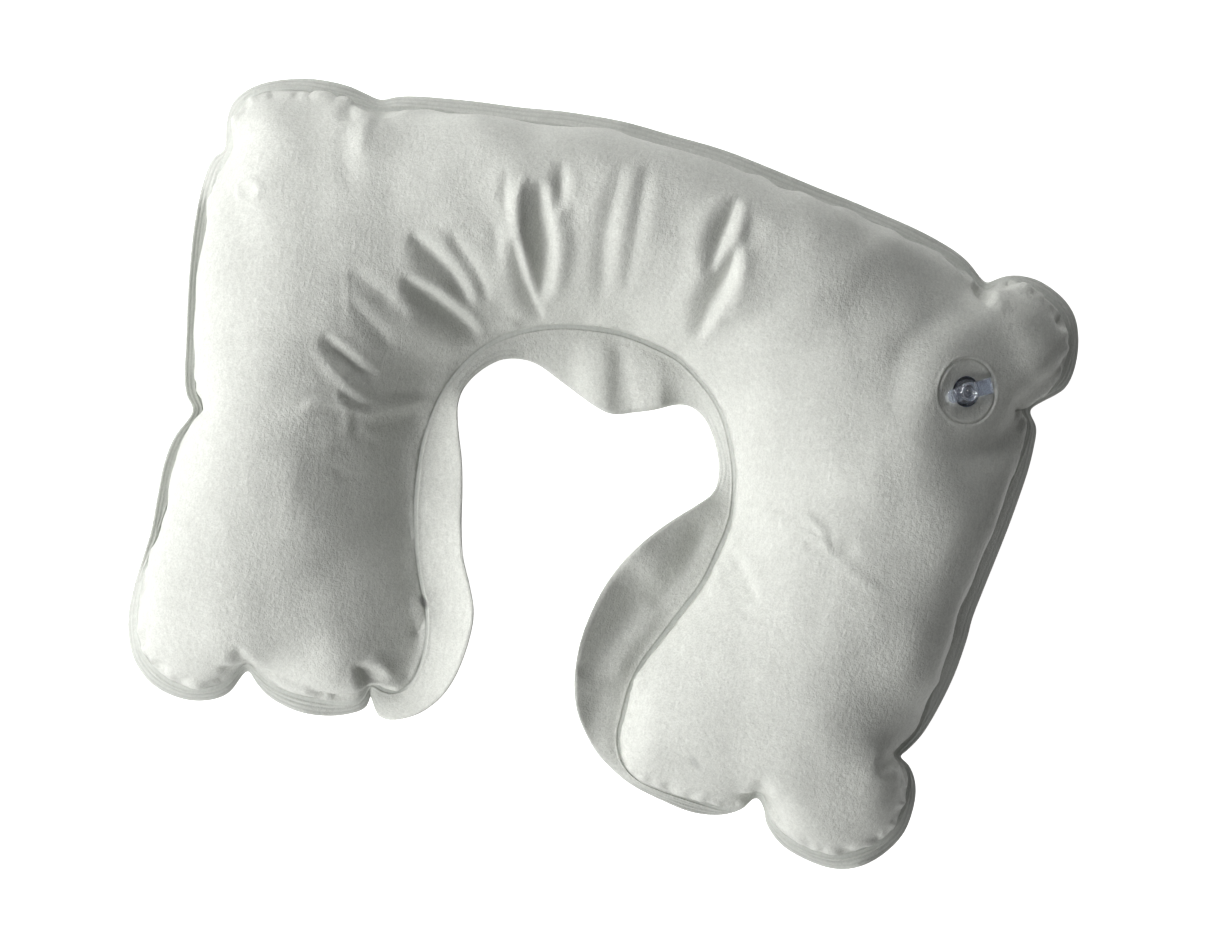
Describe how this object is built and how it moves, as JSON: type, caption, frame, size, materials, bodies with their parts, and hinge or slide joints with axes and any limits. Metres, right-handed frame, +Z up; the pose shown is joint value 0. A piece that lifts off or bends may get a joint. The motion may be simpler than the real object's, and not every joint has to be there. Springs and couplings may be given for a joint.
{
  "type": "inflatable neck pillow",
  "caption": "U shaped inflatable travel neck pillow of flocked vinyl, with a welded edge, a neck flap and a sunken air valve with a tethered plug.",
  "frame": {"origin": "middle of the footprint, on the surface that the pillow lies on", "axes": "+Z up out of the face that carries the valve, +X across the pillow, +Y towards the back of the neck, so the open side of the U faces -Y"},
  "size_m": [0.4132, 0.312, 0.0813],
  "materials": {
    "flocked_film": "matte",
    "weld": "matte",
    "clear_vinyl": "gloss"
  },
  "bodies": {
    "pillow": {"top_panel": "flocked_film", "bottom_panel": "flocked_film", "perimeter_weld": "weld", "valve_flange": "clear_vinyl", "valve_skirt": "clear_vinyl"},
    "stem": {"valve_stem": "clear_vinyl", "flap_seat": "clear_vinyl", "tether_lower": "clear_vinyl"},
    "plug": {"plug_cap": "clear_vinyl", "stopper_pin": "clear_vinyl", "pull_tab": "clear_vinyl", "tether_upper": "clear_vinyl"},
    "flap": {"check_flap": "clear_vinyl"}
  },
  "joints": [
    {"name": "valve_pop_up", "type": "slide", "parent": "pillow", "child": "stem", "axis": [0.4028, 0.0566, 0.9135], "range_m": [0, 0.009]},
    {"name": "plug_swing", "type": "hinge", "parent": "stem", "child": "plug", "pos_m": [0.16829, 0.07766, 0.06538], "axis": [-0.4402, 0.8871, 0.1391], "range_deg": [0, 110]},
    {"name": "check_flap_open", "type": "hinge", "parent": "stem", "child": "flap", "pos_m": [0.14863, 0.06903, 0.05822], "axis": [-0.4402, 0.8871, 0.1391], "range_deg": [0, 50], "stiffness_Nm_per_rad": 0.0002}
  ]
}
